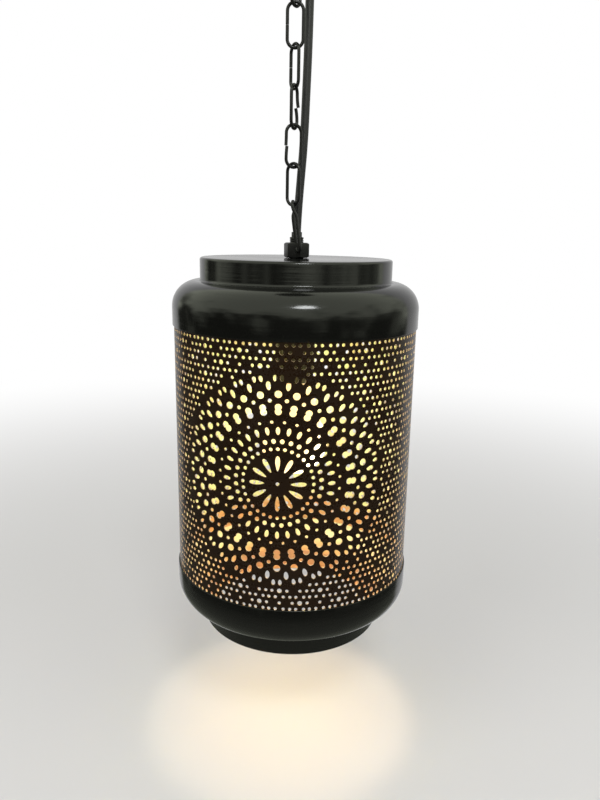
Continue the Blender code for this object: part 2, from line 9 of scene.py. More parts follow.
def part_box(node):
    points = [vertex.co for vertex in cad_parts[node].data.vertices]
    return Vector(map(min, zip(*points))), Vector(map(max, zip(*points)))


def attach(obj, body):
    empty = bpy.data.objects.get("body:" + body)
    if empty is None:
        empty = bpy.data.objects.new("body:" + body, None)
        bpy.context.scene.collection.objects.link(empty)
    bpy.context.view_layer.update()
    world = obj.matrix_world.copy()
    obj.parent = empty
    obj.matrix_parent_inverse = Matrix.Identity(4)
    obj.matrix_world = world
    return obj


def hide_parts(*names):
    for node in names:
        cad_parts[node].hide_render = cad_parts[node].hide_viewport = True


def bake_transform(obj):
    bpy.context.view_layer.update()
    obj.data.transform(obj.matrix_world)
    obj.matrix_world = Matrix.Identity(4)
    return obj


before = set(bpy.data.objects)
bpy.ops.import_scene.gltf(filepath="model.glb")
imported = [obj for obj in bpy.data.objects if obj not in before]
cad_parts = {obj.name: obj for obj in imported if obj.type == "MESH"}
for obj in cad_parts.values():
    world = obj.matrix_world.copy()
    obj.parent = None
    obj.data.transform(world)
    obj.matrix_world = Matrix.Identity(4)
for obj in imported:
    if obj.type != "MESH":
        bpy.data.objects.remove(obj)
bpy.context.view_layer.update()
print("frame loaded,", len(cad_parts), "nodes")

# heights below are measured from the top of the lid, on the lantern's axis
lidLow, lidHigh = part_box("top_cap")
lidTop = Vector(((lidLow.x + lidHigh.x) / 2, (lidLow.y + lidHigh.y) / 2, lidHigh.z))

# camera

camera = {
    "place": (0.06587, -0.54867, -0.23772),
    "turn": 5.99,      # degrees to the left of +Y
    "tilt": 13.83,     # degrees down
    "roll": 1.008,
    "lens": 30.69,
}


def placeCamera():
    aim = (Matrix.Rotation(radians(camera["turn"]), 3, "Z")
           @ Matrix.Rotation(radians(90 - camera["tilt"]), 3, "X")
           @ Matrix.Rotation(radians(camera["roll"]), 3, "Z"))
    bpy.ops.object.camera_add(location=camera["place"], rotation=aim.to_euler())
    bpy.context.object.data.lens = camera["lens"]
    bpy.context.scene.camera = bpy.context.object


placeCamera()
print("camera placed")


# shader sums: one socket, with the operators that the finishes use

class Tap:
    def __init__(self, tree, socket=None):
        self.tree = tree
        self.socket = socket

    def node(self, kind, sockets, out=0, **settings):
        made = self.tree.nodes.new("ShaderNode" + kind)
        for key, value in settings.items():
            setattr(made, key, value)
        for key, value in sockets.items():
            if isinstance(value, Tap):
                self.tree.links.new(value.socket, made.inputs[key])
            else:
                made.inputs[key].default_value = value
        return Tap(self.tree, made.outputs[out])

    def math(self, operation, first, second):
        return self.node("Math", {0: first, 1: second}, operation=operation)

    def __add__(self, other):
        return self.math("ADD", self, other)

    def __sub__(self, other):
        return self.math("SUBTRACT", self, other)

    def __rsub__(self, other):
        return self.math("SUBTRACT", other, self)

    def __mul__(self, other):
        return self.math("MULTIPLY", self, other)

    __radd__ = __add__
    __rmul__ = __mul__

    def noise(self, scale, detail=2.0, stretch=(1, 1, 1)):
        moved = self.node("VectorMath", {0: self, 1: stretch}, operation="MULTIPLY")
        return self.node("TexNoise", {"Vector": moved, "Scale": scale, "Detail": detail})

    def between(self, low, high):
        return self.node("MapRange", {"Value": self, "From Min": low, "From Max": high},
                         interpolation_type="SMOOTHSTEP")

    def mix(self, low, high):
        return self.node("Mix", {0: self, 6: low, 7: high}, out=2, data_type="RGBA")

    def height(self):
        return self.node("SeparateXYZ", {0: self}, out="Z")


def colour(red, green, blue):
    return (red, green, blue, 1.0)


def makeFinish(name, paint, **fixed):
    made = bpy.data.materials.new(name)
    made.use_nodes = True
    tree = made.node_tree
    shader = tree.nodes["Principled BSDF"]
    for key, value in fixed.items():
        shader.inputs[key.replace("_", " ")].default_value = value
    place = Tap(tree).node("TexCoord", {}, out="Object")
    for key, value in paint(place).items():
        tree.links.new(value.socket, shader.inputs[key])
    return made


def bump(height, depth):
    return height.node("Bump", {"Height": height, "Distance": depth, "Strength": 1.0})


def enamelPaint(place):   # glossy stoved enamel over spun sheet
    cloud = place.noise(16, 3)
    spun = place.noise(22, 2, (0.6, 0.6, 16))
    peel = place.noise(420, 2)
    dust = place.noise(1700, 1).between(0.76, 0.86)
    black = cloud.mix(colour(0.0024, 0.0025, 0.0021), colour(0.0058, 0.0060, 0.0050))
    return {
        "Base Color": (dust * 0.3).mix(black, colour(0.11, 0.10, 0.085)),
        "Roughness": cloud * 0.07 + spun * 0.10 + dust * 0.25 + 0.045,
        "Normal": bump(spun * 0.5 + peel * 0.12, 0.0002),
    }


def drumPaint(place):   # thinner coat on the pierced sheet, a little warmer
    cloud = place.noise(24, 3)
    wipe = place.noise(30, 2, (1, 1, 5))
    grain = place.noise(700, 2)
    black = cloud.mix(colour(0.0092, 0.0044, 0.0017), colour(0.020, 0.0100, 0.0042))
    return {
        "Base Color": black,
        "Roughness": wipe * 0.14 + grain * 0.08 + 0.17,
        "Normal": bump(wipe * 0.5 + grain * 0.3, 0.00008),
    }


lacquer = {                 # depths below the top of the lid
    "shadeFrom": 0.240,      # where painted shade starts: the drum's lowest strip darkens to copper
    "shadeTo": 0.252,
    "neckShadeFrom": 0.282,      # and where painted shade starts in the collar's lower neck
    "neckShadeTo": 0.296,
}


def depthIn(place):
    return lidTop.z - place.height()


def goldPaint(place):   # pale green-gold lacquer inside the drum
    cloud = place.noise(34, 3)
    spray = place.noise(900, 2)
    stain = place.noise(260, 2).between(0.62, 0.74)
    lime = cloud.mix(colour(0.68, 0.80, 0.44), colour(0.85, 0.92, 0.68))
    # painted shade: the lowest strip of the drum's inside goes darker, to copper
    low = depthIn(place).between(lacquer["shadeFrom"], lacquer["shadeTo"])
    shadeAndThinCoat = low * 0.9 + place.noise(26, 2).between(0.56, 0.66) * 0.4
    gold = shadeAndThinCoat.mix(lime, colour(0.76, 0.42, 0.20))     # painted shade: copper on the drum's lowest strip; copper also shows in random patches where the lacquer is thin
    return {
        "Base Color": (stain * 0.5).mix(gold, colour(0.50, 0.32, 0.12)),
        "Roughness": spray * 0.14 + cloud * 0.1 + 0.24,
        "Metallic": 0.45 - stain * 0.3,
        "Normal": bump(spray, 0.00006),
    }


def creamPaint(place):   # paler undercoat inside the caps, with painted shade: darker copper in the collar's lower neck
    cloud = place.noise(40, 3)
    spray = place.noise(900, 2)
    runs = place.noise(60, 2, (1, 1, 0.3)).between(0.55, 0.75)
    cream = cloud.mix(colour(0.80, 0.78, 0.48), colour(0.92, 0.90, 0.68))
    # painted shade: the collar's lower neck goes darker, to copper
    neck = depthIn(place).between(lacquer["neckShadeFrom"], lacquer["neckShadeTo"])
    coat = (neck * 0.9).mix(cream, colour(0.56, 0.27, 0.13))
    return {
        "Base Color": (runs * 0.4).mix(coat, colour(0.66, 0.46, 0.22)),
        "Roughness": spray * 0.2 + cloud * 0.1 + 0.35,
        "Normal": bump(spray, 0.00006),
    }


def cutPaint(place):   # bare punched edges under overspray
    grain = place.noise(1300, 2)
    return {
        "Base Color": grain.mix(colour(0.46, 0.33, 0.24), colour(0.64, 0.52, 0.42)),
        "Roughness": grain * 0.25 + 0.3,
    }


def blackSteelPaint(place):   # blacked wire and nuts with a thin wax film
    cloud = place.noise(240, 3)
    scuff = place.noise(1500, 2, (1, 1, 0.25)).between(0.60, 0.80)
    black = cloud.mix(colour(0.0035, 0.0035, 0.0035), colour(0.010, 0.0098, 0.0092))
    return {
        "Base Color": (scuff * 0.4).mix(black, colour(0.050, 0.048, 0.045)),
        "Roughness": cloud * 0.18 + scuff * 0.12 + 0.22,
        "Metallic": scuff * 0.6,
        "Normal": bump(cloud * 0.6 + scuff * 0.4, 0.00005),
    }


def zincPaint(place):   # plated steel inside the fittings
    spangle = place.noise(320, 3)
    drawn = place.noise(200, 2, (12, 1, 1))
    return {
        "Base Color": spangle.mix(colour(0.42, 0.42, 0.40), colour(0.62, 0.62, 0.59)),
        "Roughness": spangle * 0.2 + drawn * 0.15 + 0.2,
        "Normal": bump(drawn, 0.00004),
    }


def nylonPaint(place):
    grain = place.noise(1500, 2)
    return {
        "Base Color": grain.mix(colour(0.010, 0.010, 0.010), colour(0.022, 0.022, 0.021)),
        "Roughness": grain * 0.2 + 0.38,
        "Normal": bump(grain, 0.00005),
    }


def sheathPaint(place):   # extruded flex sheath, with faint draw lines along it
    drawn = place.noise(900, 2, (1, 1, 0.03))
    cloud = place.noise(70, 3)
    dust = place.noise(1400, 1).between(0.64, 0.78)
    black = cloud.mix(colour(0.010, 0.010, 0.0105), colour(0.021, 0.021, 0.0215))
    return {
        "Base Color": (dust * 0.3).mix(black, colour(0.09, 0.088, 0.082)),
        "Roughness": cloud * 0.14 + drawn * 0.12 + 0.26,
        "Normal": bump(drawn, 0.00006),
    }


def phenolicPaint(place):   # moulded brown lampholder
    cloud = place.noise(90, 3)
    grain = place.noise(1300, 2)
    return {
        "Base Color": cloud.mix(colour(0.008, 0.005, 0.0035), colour(0.020, 0.012, 0.008)),
        "Roughness": cloud * 0.12 + grain * 0.10 + 0.22,
        "Normal": bump(grain, 0.00004),
    }


def ceramicPaint(place):
    cloud = place.noise(160, 3)
    return {
        "Base Color": cloud.mix(colour(0.72, 0.69, 0.62), colour(0.84, 0.82, 0.77)),
        "Roughness": cloud * 0.2 + 0.15,
        "Normal": bump(cloud, 0.00005),
    }


def brassPaint(place):
    tarnish = place.noise(180, 3)
    return {
        "Base Color": tarnish.mix(colour(0.62, 0.44, 0.19), colour(0.80, 0.66, 0.36)),
        "Roughness": tarnish * 0.22 + 0.18,
        "Normal": bump(tarnish, 0.00003),
    }


lamp = {
    "place": Vector((0.015, 0.004, -0.166)),    # from the top of the lid
    "radius": 0.018,
    "power": 0.45,
    "tint": (1.0, 0.84, 0.62),
    "glowReach": 0.034,     # the glass is brightest this near to the lamp
    "spill": 0.26,          # warm light that falls through the mouth
    "spillTint": (1.0, 0.42, 0.14),
    "spillTop": -0.190,
    "spillCone": 64,
    "spillBlend": 0.8,
}


def opalPaint(place):   # lit opal glass, brightest round the lamp inside
    cloud = place.noise(50, 2)
    core = lidTop + lamp["place"]
    away = place.node("VectorMath", {0: place, 1: core}, out="Value", operation="DISTANCE")
    fade = away.between(lamp["radius"], lamp["glowReach"])
    warm = fade.mix(colour(1.0, 0.86, 0.62), colour(0.16, 0.10, 0.045))
    return {
        "Base Color": cloud.mix(colour(0.86, 0.83, 0.76), colour(0.93, 0.91, 0.86)),
        "Emission Color": warm,
        "Roughness": cloud * 0.1 + 0.12,
    }


enamel = makeFinish("stoved_enamel", enamelPaint, Specular_IOR_Level=0.45)
drumEnamel = makeFinish("drum_enamel", drumPaint, Specular_IOR_Level=0.24)
goldInside = makeFinish("gold_inside", goldPaint)
creamInside = makeFinish("cream_undercoat", creamPaint)
cutEdge = makeFinish("punched_edge", cutPaint, Metallic=0.4)
blackSteel = makeFinish("blacked_steel", blackSteelPaint, Specular_IOR_Level=0.35)
zincSteel = makeFinish("zinc_steel", zincPaint, Metallic=1.0)
nylon = makeFinish("black_nylon", nylonPaint)
sheath = makeFinish("flex_sheath", sheathPaint)
phenolic = makeFinish("brown_phenolic", phenolicPaint)
ceramic = makeFinish("glazed_ceramic", ceramicPaint)
brass = makeFinish("plated_brass", brassPaint, Metallic=1.0)
opal = makeFinish("lit_opal_glass", opalPaint, Emission_Strength=6.0)
print("finishes mixed")


# modelling helpers

def pick(piece):
    bpy.ops.object.select_all(action="DESELECT")
    piece.select_set(True)
    bpy.context.view_layer.objects.active = piece


def settle(piece):   # place and turn go into the mesh
    pick(piece)
    bpy.ops.object.transform_apply(location=True, rotation=True, scale=True)


def arc(middle, radius, start, end, steps):
    angles = [radians(start + (end - start) * i / steps) for i in range(steps + 1)]
    return [(middle[0] + radius * cos(a), middle[1] + radius * sin(a)) for a in angles]


def smoothLine(points, steps):   # a rounded line through a few points
    found = []
    for i in range(len(points) - 1):
        before, here = Vector(points[max(0, i - 1)]), Vector(points[i])
        there, after = Vector(points[i + 1]), Vector(points[min(len(points) - 1, i + 2)])
        for k in range(steps):
            t = k / steps
            found.append(tuple(0.5 * (2 * here + (there - before) * t
                                      + (2 * before - 5 * here + 4 * there - after) * t ** 2
                                      + (3 * here - before - 3 * there + after) * t ** 3)))
    return found + [tuple(points[-1])]


def smoothstep(value, low, high):
    t = min(1.0, max(0.0, (value - low) / (high - low)))
    return t * t * (3 - 2 * t)


def wave(turns):   # 0 to 1 and back
    return 0.5 - 0.5 * cos(2 * pi * turns)


poleRadius = 1e-5   # a ring this small is merged into one point
wallSkin = 1e-4     # points this near to the outer radius are on the outer wall


def turnPiece(name, profile, sides, foot, closed=True):
    # a ring is pulled from point to point of the profile (radius, height)
    profile = [(max(radius, poleRadius), height) for radius, height in profile]
    bpy.ops.object.select_all(action="DESELECT")
    radius, height = profile[0]
    bpy.ops.mesh.primitive_circle_add(vertices=sides, radius=radius,
                                      location=Vector(foot) + Vector((0, 0, height)))
    piece = bpy.context.object
    piece.name = name
    bpy.ops.object.mode_set(mode="EDIT")
    for nextRadius, nextHeight in profile[1:] + profile[:1] * closed:
        bpy.ops.mesh.extrude_edges_move(
            TRANSFORM_OT_translate={"value": (0, 0, nextHeight - height)})
        share = nextRadius / radius
        bpy.ops.transform.resize(value=(share, share, 1))
        radius, height = nextRadius, nextHeight
    bpy.ops.mesh.select_all(action="SELECT")
    bpy.ops.mesh.remove_doubles(threshold=2.5 * poleRadius)
    bpy.ops.mesh.normals_make_consistent(inside=False)
    bpy.ops.object.mode_set(mode="OBJECT")
    settle(piece)
    return piece


def pressWall(piece, middle, radius, depthAt):   # the outer wall goes in by depthAt(angle, height)
    for vertex in piece.data.vertices:
        place = vertex.co - middle
        away = sqrt(place.x ** 2 + place.y ** 2)
        if away > radius - wallSkin:
            share = 1 - depthAt(atan2(place.y, place.x), place.z) / away
            vertex.co.x = middle.x + place.x * share
            vertex.co.y = middle.y + place.y * share


def useModifier(piece, kind, **settings):
    pick(piece)
    step = piece.modifiers.new(kind.lower(), kind)
    for key, value in settings.items():
        setattr(step, key, value)
    bpy.ops.object.modifier_apply(modifier=step.name)


def cut(piece, tool, operation="DIFFERENCE"):
    useModifier(piece, "BOOLEAN", operation=operation, solver="EXACT", object=tool)
    bpy.data.objects.remove(tool)


bluntAngle = 50    # degrees: bends up to this are part of a rounded shape
threadAngle = 60   # and up to this on a thread


def softenEdges(piece, width, angle=30):
    useModifier(piece, "BEVEL", width=width, segments=2, limit_method="ANGLE",
                angle_limit=radians(angle))


def wireTube(name, points, radius, sides):
    curve = bpy.data.curves.new(name, "CURVE")
    curve.dimensions = "3D"
    curve.bevel_depth = radius
    curve.bevel_resolution = sides // 2 - 2   # which makes that many sides
    curve.use_fill_caps = True
    spline = curve.splines.new("POLY")
    spline.points.add(len(points) - 1)
    for knot, place in zip(spline.points, points):
        knot.co = (*place, 1)
    piece = bpy.data.objects.new(name, curve)
    bpy.context.collection.objects.link(piece)
    pick(piece)
    bpy.ops.object.convert(target="MESH")
    return bpy.context.object


def dress(piece, finish, slot, body, *nodes, smooth=35):
    pick(piece)
    if not piece.data.materials:
        piece.data.materials.append(finish)
    bpy.ops.object.shade_smooth_by_angle(angle=radians(smooth))
    if body:
        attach(piece, body)
    if nodes:
        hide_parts(*nodes)
    return piece


# flex beside the chain, in four stretches that meet at the joints

flex = {
    "radius": 0.00325,
    "turn": 6,          # degrees, the direction in which it leans away from the axis
    "sides": 20,
    "spacing": 0.003,   # between points along a stretch
    "route": (          # lean from the lantern's axis, height above the lid
        (0.0, -0.056), (0.0, -0.02), (0.0, 0.012), (0.0001, 0.020), (0.0009, 0.038),
        (0.0024, 0.060), (0.0038, 0.079), (0.0048, 0.098), (0.0054, 0.117),
        (0.0064, 0.152), (0.0070, 0.188), (0.0074, 0.224), (0.0074, 0.240),
    ),
    "stretches": (      # node, lower and upper end, bodies below and above, bend from and to
        ("flex_lower", -0.056, 0.060, "lantern", "chain_lower", 0.030, 0.054),
        ("flex_middle_lower", 0.060, 0.124, "chain_lower", "chain_middle", 0.087, 0.107),
        ("flex_middle_upper", 0.124, 0.180, "chain_middle", "chain_upper", 0.142, 0.162),
        ("flex_upper", 0.180, 0.240, "chain_upper", "ceiling_fitting", 0.197, 0.218),
    ),
}


def flexPoint(height):   # smooth curve through the route
    route = flex["route"]
    last = len(route) - 1
    i = max(k for k in range(last) if route[k][1] <= height or k == 0)
    before, after = route[max(0, i - 1)], route[min(last, i + 2)]
    (a, low), (b, high) = route[i], route[i + 1]
    span = high - low
    t = (height - low) / span
    slopeA = (b - before[0]) / (high - before[1]) * span
    slopeB = (after[0] - a) / (after[1] - low) * span
    lean = ((2 * t ** 3 - 3 * t ** 2 + 1) * a + (t ** 3 - 2 * t ** 2 + t) * slopeA
            + (3 * t ** 2 - 2 * t ** 3) * b + (t ** 3 - t ** 2) * slopeB)
    turn = radians(flex["turn"])
    return lidTop + Vector((lean * cos(turn), lean * sin(turn), height))


def layFlex():
    for node, low, high, below, above, bendFrom, bendTo in flex["stretches"]:
        steps = round((high - low) / flex["spacing"])
        path = [flexPoint(low + (high - low) * i / steps) for i in range(steps + 1)]
        piece = wireTube(node + "_sheath", path, flex["radius"], flex["sides"])
        dress(piece, sheath, "flex_sheath", None)
        flexPoint(bendFrom)
        flexPoint(bendTo)
        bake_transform(piece)
        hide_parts(node)


layFlex()
print("flex laid")


# chain of bent wire links

chain = {
    "wire": 0.00125,
    "halfWidth": 0.0059,
    "length": 0.0308,       # between the wire centres of its two ends
    "step": 0.0280,
    "foot": 0.0406,         # wire centre under the lowest plain link
    "turns": (63, 6, -54, -105, -157, -213),
    "joints": (1, -1, -1, -1, 1, -1),     # leg that holds the butt joint
    "misfits": (0.0, 0.0, 0.0, 0.0009, 0.0006, 0.0),     # its lower end sits further in
    "offsets": (0.0, 0.0, 0.0, 0.0008, 0.0002, 0.0),     # and to one side
    "buttGap": 0.0005,
    "endEdge": 0.0002,
    "bodies": ("chain_upper", "chain_middle", "chain_lower"),
    "bendSteps": 16,
    "sides": 16,
}


def linkPath(joint, misfit, offset):   # once round, from one side of the butt joint to the other
    half, gap, steps = chain["halfWidth"], chain["buttGap"] / 2, chain["bendSteps"]
    top = chain["length"] / 2 - half
    parts = [(1 - k / 4) ** 2 for k in range(4)]     # the misfit dies out along the leg
    rises = [gap, top / 4, top / 2, top * 3 / 4]
    lower = [(half - misfit * part, -offset * part, -up) for part, up in zip(parts, rises)]
    upper = [(half + misfit / 2 * part, offset * part, up) for part, up in zip(parts, rises)]
    bends = arc((0, -top), half, 0, -180, steps) + arc((0, top), half, 180, 0, steps)
    path = lower + [(across, 0, up) for across, up in bends] + upper[::-1]
    return [(joint * across, aside, up) for across, aside, up in path]


def bendLinks():
    rows = list(zip(chain["turns"], chain["joints"], chain["misfits"], chain["offsets"]))
    for i, (turn, joint, misfit, offset) in enumerate(rows):
        foot = lidTop.z + chain["foot"] + chain["step"] * (len(rows) - 1 - i)
        points = linkPath(joint, misfit, offset)
        link = wireTube(f"wire_link_{i + 1}", points, chain["wire"], chain["sides"])
        link.location = (0, 0, foot + chain["length"] / 2)
        link.rotation_euler = (0, 0, radians(turn))
        settle(link)
        softenEdges(link, chain["endEdge"], bluntAngle)
        dress(link, blackSteel, "blackened_steel", chain["bodies"][i // 2], f"chain_link_{i + 1}",
              smooth=bluntAngle)


bendLinks()

lastLink = {
    "halfWidth": 0.0046,
    "footHeight": 0.0052,   # wire centre over the lid
    "legOut": 0.00755,      # back leg, from the lantern's axis
    "legTurn": 6,           # and from the front towards +X
    "footTurn": 115,        # the link's plane in the nut, and at the chain
    "topTurn": 87,
    "twistFrom": 0.026,     # above the foot
    "leanFrom": 0.002,
    "legSteps": 14,
    "bendSteps": 10,
}


def lastLinkPoints():   # through a slanting hole beside the nut's front corner, and up to the chain
    half, rise = lastLink["halfWidth"], lastLink["footHeight"]
    legSteps, bendSteps = lastLink["legSteps"], lastLink["bendSteps"]
    legTurn = radians(lastLink["legTurn"])
    footTurn, topTurn = radians(lastLink["footTurn"]), radians(lastLink["topTurn"])
    footX = lidTop.x + lastLink["legOut"] * sin(legTurn) - half * cos(footTurn)
    footY = lidTop.y - lastLink["legOut"] * cos(legTurn) - half * sin(footTurn)
    height = chain["foot"] + chain["length"] - chain["step"] - rise
    legTop = height - half
    legs = [half + (legTop - half) * k / legSteps for k in range(1, legSteps)]
    side = arc((0, half), half, -90, 0, bendSteps) + [(half, up) for up in legs]
    side += arc((0, legTop), half, 0, 90, bendSteps)
    path = side + [(-across, up) for across, up in side[-2:0:-1]] + [(-chain["buttGap"], 0)]
    points = []
    for across, up in path:
        turn = footTurn + (topTurn - footTurn) * smoothstep(up, lastLink["twistFrom"], legTop)
        left = min(1.0, (height - up) / (height - lastLink["leanFrom"]))
        points.append((footX * left + across * cos(turn), footY * left + across * sin(turn),
                       lidTop.z + rise + up))
    return points


lastWire = wireTube("wire_link_7", lastLinkPoints(), chain["wire"], chain["sides"])
dress(lastWire, blackSteel, "blackened_steel", "lantern", "chain_link_7", smooth=bluntAngle)
print("chain bent")


# spun caps, lid above and collar below

cap = {
    "radius": 0.100,
    "height": 0.0532,
    "neck": 0.0775,
    "neckHeight": 0.016,
    "neckEdge": 0.002,
    "fillet": 0.002,
    "sheet": 0.0009,
    "lip": 0.0004,        # rounding of the skirt's edge
    "bore": 0.006,
    "mouth": 0.070,
    "body": 0.3118,       # lid top to collar bottom
    "sides": 144,
}


def capProfile(hole):   # outside first, then back along the inside
    neck, edge, fillet, sheet = cap["neck"], cap["neckEdge"], cap["fillet"], cap["sheet"]
    ledge = neck + fillet
    shoulder = cap["radius"] - ledge
    foot = -cap["neckHeight"] - fillet
    middle = (ledge, foot - shoulder)
    outside = [(hole, 0), ((hole + neck) / 2, 0)]
    outside += arc((neck - edge, -edge), edge, 90, 0, 6)
    outside += arc((ledge, -cap["neckHeight"]), fillet, 180, 270, 5)
    outside += arc(middle, shoulder, 90, 0, 18)[1:]
    outside += arc((cap["radius"] - cap["lip"], cap["lip"] - cap["height"]), cap["lip"], 0, -90, 3)
    inside = [(cap["radius"] - sheet, -cap["height"])]
    inside += arc(middle, shoulder - sheet, 0, 90, 12)
    inside += [(neck - sheet, foot - sheet + fillet), (neck - sheet, -edge), (neck - edge, -sheet)]
    inside += [((hole + neck) / 2, -sheet), (hole, -sheet)]
    return outside + inside, len(outside)


def spinCap(name, hole, node, flip):
    profile, turnBack = capProfile(hole)
    if flip:
        profile = [(radius, -cap["body"] - height) for radius, height in profile]
    piece = turnPiece(name, profile, cap["sides"], lidTop)
    piece.data.materials.append(enamel)
    piece.data.materials.append(creamInside)
    for face in piece.data.polygons[turnBack * cap["sides"]:]:
        face.material_index = 1
    dress(piece, enamel, "black_enamel", "lantern", node)


spinCap("spun_lid", cap["bore"], "top_cap", False)
spinCap("spun_collar", cap["mouth"], "bottom_cap", True)
print("caps spun")


# pierced drum, punched flat and then rolled

drum = {
    "radius": 0.0988,
    "sheet": 0.0008,
    "tuck": 0.010,            # hidden inside each cap
    "seam": -101.25,          # degrees from the front towards +X
    "seamMargin": 0.0024,
    "edgeStep": 0.003,
    "bareStep": 0.004,        # points that keep the bare sheet round
    "bareClear": 0.0028,      # none of them nearer to a hole
    "wallFacing": 0.7,        # a face that looks less in or out than this is a hole's edge
    "medallion": -0.1572,
    "clear": 0.0836,          # no ground dots nearer to a medallion's middle
    "periods": 20,
    "units": 6,               # in a period of the ground pattern
    "shift": 0.0022,          # ground pattern from the medallion's middle
    "rowStep": 0.00505,
    "rowMiddle": -0.15662,
    "rows": 20,               # above and below the middle row
    "dot": 0.0026,
    "bold": 0.0038,
    "dotSides": 8,
    "snap": 1e-7,
    "weld": 1e-5,
}
evenRow = (-0.58, 0.58, 1.55, 2.43, 3.58, 4.45)     # places in units
oddRows = (   # place of the bold dot, places of the others
    (0, (1.1, 3.0, 4.0, 4.9)),
    (3, (0, 1.9, 4.1)),
    (0, (1.1, 2.1, 3.0, 4.85)),
)


def oval(length, width, sides):
    angles = [2 * pi * i / sides for i in range(sides)]
    return [(length / 2 * cos(a), width / 2 * sin(a)) for a in angles]


def drop(length, width, sides, pinch):   # rounder at its outer end
    points = oval(length, width, sides)
    return [(out, across * (1 + pinch * 2 * out / length)) for out, across in points]


def peanut(length, width, waist):   # two rounds run together
    lobe = (length - width) / 2
    return (arc((lobe, 0), width / 2, -105, 105, 8) + [(0, waist / 2)]
            + arc((-lobe, 0), width / 2, 75, 285, 8) + [(0, -waist / 2)])


medallion = (   # count, radius, share of a step, sideways offset, outline of one hole
    (1, 0.0, 0, 0, oval(0.0028, 0.0028, 12)),
    (12, 0.01545, 0, 0, drop(0.0117, 0.0033, 16, 0.35)),
    (32, 0.0265, 0, 0, oval(0.0028, 0.0028, 10)),
    (32, 0.0323, 0.5, 0, oval(0.0037, 0.0033, 12)),
    (32, 0.0400, 0, 0, drop(0.0060, 0.0031, 12, 0.12)),
    (32, 0.0465, 0.5, 0, oval(0.0023, 0.0023, 10)),
    (32, 0.0558, 0, 0, peanut(0.0084, 0.0051, 0.0037)),
    (32, 0.0623, 0.5, 0, oval(0.0030, 0.0030, 10)),
    (32, 0.0668, 0, 0, oval(0.0054, 0.0054, 16)),
    (32, 0.0729, 0.5, 0, drop(0.0066, 0.0035, 14, 0.12)),
    (32, 0.0783, 0, -0.0025, drop(0.0046, 0.0029, 12, 0.2)),
    (32, 0.0783, 0, 0.0025, drop(0.0046, 0.0029, 12, 0.2)),
)


def medallionHoles(middle):
    for count, ring, share, aside, outline in medallion:
        for i in range(count):
            angle = 2 * pi * (i + share) / count
            yield [(middle.x + (ring + out) * sin(angle) - (across + aside) * cos(angle),
                    middle.y + (ring + out) * cos(angle) + (across + aside) * sin(angle))
                   for out, across in outline]


def groundHoles(girth, middles):
    units = drum["units"]
    unit = girth / drum["periods"] / units
    start = middles[0].x + drum["shift"]
    for row in range(-drum["rows"], drum["rows"] + 1):
        up = drum["rowMiddle"] + drum["rowStep"] * row
        dots = [(place, drum["dot"]) for place in evenRow]
        if row % 2:
            boldPlace, places = oddRows[(drum["rows"] - 1 - row) // 2 % len(oddRows)]
            dots = [(boldPlace, drum["bold"])] + [(place, drum["dot"]) for place in places]
        for period in range(drum["periods"]):
            for place, size in dots:
                along = (start + unit * (units * period + place)) % girth
                edge = min(along, girth - along)
                near = min((Vector((along, up)) - middle).length for middle in middles)
                if near > drum["clear"] and edge > drum["seamMargin"]:
                    yield [(along + x, up + y) for x, y in oval(size, size, drum["dotSides"])]


def flatSheet():
    girth = 2 * pi * drum["radius"]
    top = -cap["height"] + drum["tuck"]
    bottom = -cap["body"] - top
    middles = [Vector(((facing - radians(drum["seam"])) * drum["radius"], drum["medallion"]))
               for facing in (0, pi)]
    holes = list(groundHoles(girth, middles))
    for middle in middles:
        holes += medallionHoles(middle)
    columns = np.linspace(0, girth, round(girth / drum["edgeStep"]) + 1)
    rows = np.linspace(bottom, top, round((top - bottom) / drum["edgeStep"]) + 1)
    edge = [(x, bottom) for x in columns] + [(girth, y) for y in rows[1:-1]]
    edge += [(x, top) for x in columns[::-1]] + [(0, y) for y in rows[-2:0:-1]]
    return edge, holes, barePoints(girth, bottom, top, holes)


def barePoints(girth, bottom, top, holes):
    step = drum["bareStep"]
    outline = np.concatenate([np.array(hole) for hole in holes])
    kept = []
    for x in np.arange(step, girth - step / 2, step):
        for y in np.arange(bottom + step, top - step / 2, step):
            if np.hypot(outline[:, 0] - x, outline[:, 1] - y).min() > drum["bareClear"]:
                kept.append((x, y))
    return kept


def rollDrum():
    edge, holes, bare = flatSheet()
    points = edge + bare
    edges = [(i, (i + 1) % len(edge)) for i in range(len(edge))]
    loops = []
    for hole in holes:
        loops.append(range(len(points), len(points) + len(hole)))
        points += hole
    flat, _, faces, _, _, inHole = delaunay_2d_cdt(
        [Vector(p) for p in points], edges, loops, 1, drum["snap"])
    swing = [radians(drum["seam"]) + along / drum["radius"] for along, up in flat]
    rolled = [(lidTop.x + drum["radius"] * sin(s), lidTop.y - drum["radius"] * cos(s), lidTop.z + up)
              for s, (along, up) in zip(swing, flat)]
    mesh = bpy.data.meshes.new("pierced_sheet")
    mesh.from_pydata(rolled, [], [face for face, hole in zip(faces, inHole) if not hole])
    piece = bpy.data.objects.new("pierced_sheet", mesh)
    bpy.context.collection.objects.link(piece)
    useModifier(piece, "WELD", merge_threshold=drum["weld"])
    for finish in (drumEnamel, goldInside, cutEdge):
        mesh.materials.append(finish)
    useModifier(piece, "SOLIDIFY", thickness=drum["sheet"], offset=-1, material_offset=1,
                material_offset_rim=2)
    print("drum rolled,", len(holes), "holes")
    return piece


